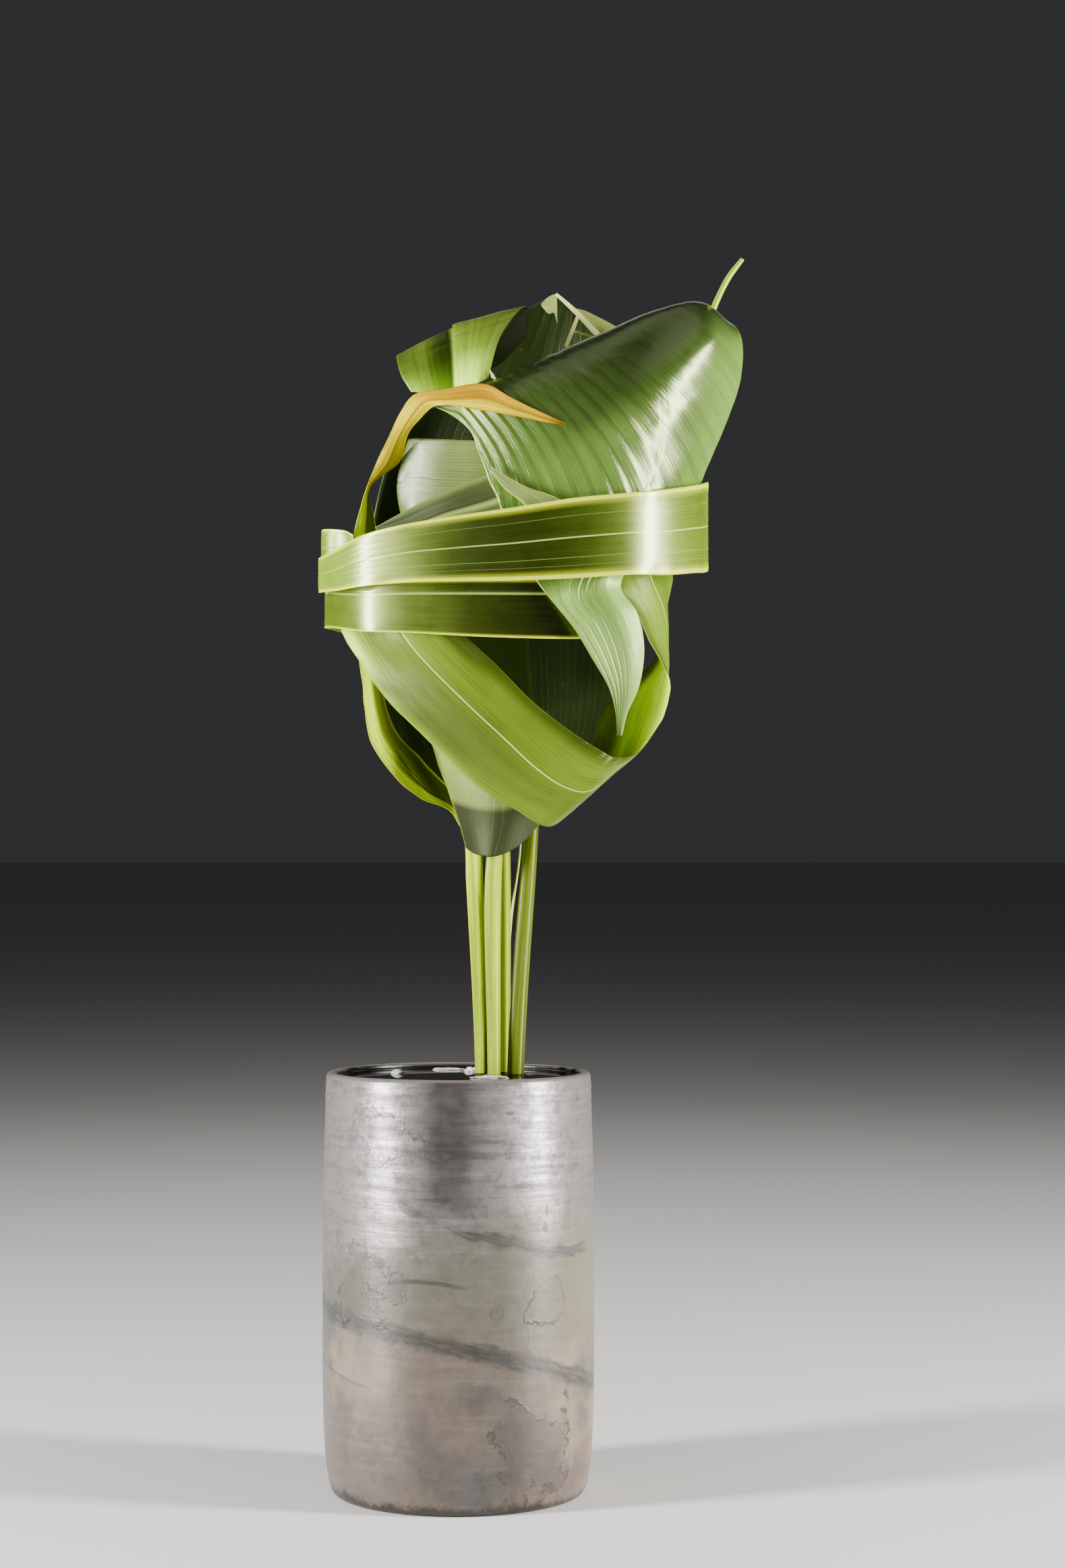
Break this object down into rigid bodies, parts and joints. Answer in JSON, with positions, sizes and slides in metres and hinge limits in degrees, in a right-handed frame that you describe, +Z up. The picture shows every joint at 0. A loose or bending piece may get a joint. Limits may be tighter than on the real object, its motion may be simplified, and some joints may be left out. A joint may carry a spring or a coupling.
{
  "type": "ikebana arrangement",
  "caption": "Ikebana arrangement: long leaves folded and woven into an open ball on their own stems, standing in a water-filled ceramic cylinder vase.",
  "frame": {"origin": "centre of the flat foot of the vase, on the surface it stands on", "axes": "+Z up along the vase's axis; the viewer of the front looks along +Y, with +X to their right"},
  "size_m": [0.1882, 0.1194, 0.5441],
  "materials": {
    "glaze": "satin glaze",
    "water": "smooth",
    "holder_metal": "dull",
    "leaf_deep": "waxy",
    "leaf_mid": "waxy",
    "leaf_grey": "waxy",
    "leaf_fresh": "waxy",
    "leaf_dark": "waxy"
  },
  "bodies": {
    "root": {"vase": "glaze", "water": "water", "pin_holder": "holder_metal", "leaf_belt": "leaf_mid", "leaf_band": "leaf_mid", "leaf_ribbed": "leaf_deep", "leaf_loop": "leaf_fresh", "leaf_diagonal": "leaf_mid", "leaf_cone": "leaf_grey", "leaf_fold": "leaf_grey", "leaf_inner_band": "leaf_grey", "leaf_inner_diagonal": "leaf_deep", "leaf_small_tip": "leaf_mid", "leaf_interior": "leaf_dark", "leaf_back": "leaf_deep"}
  },
  "joints": []
}
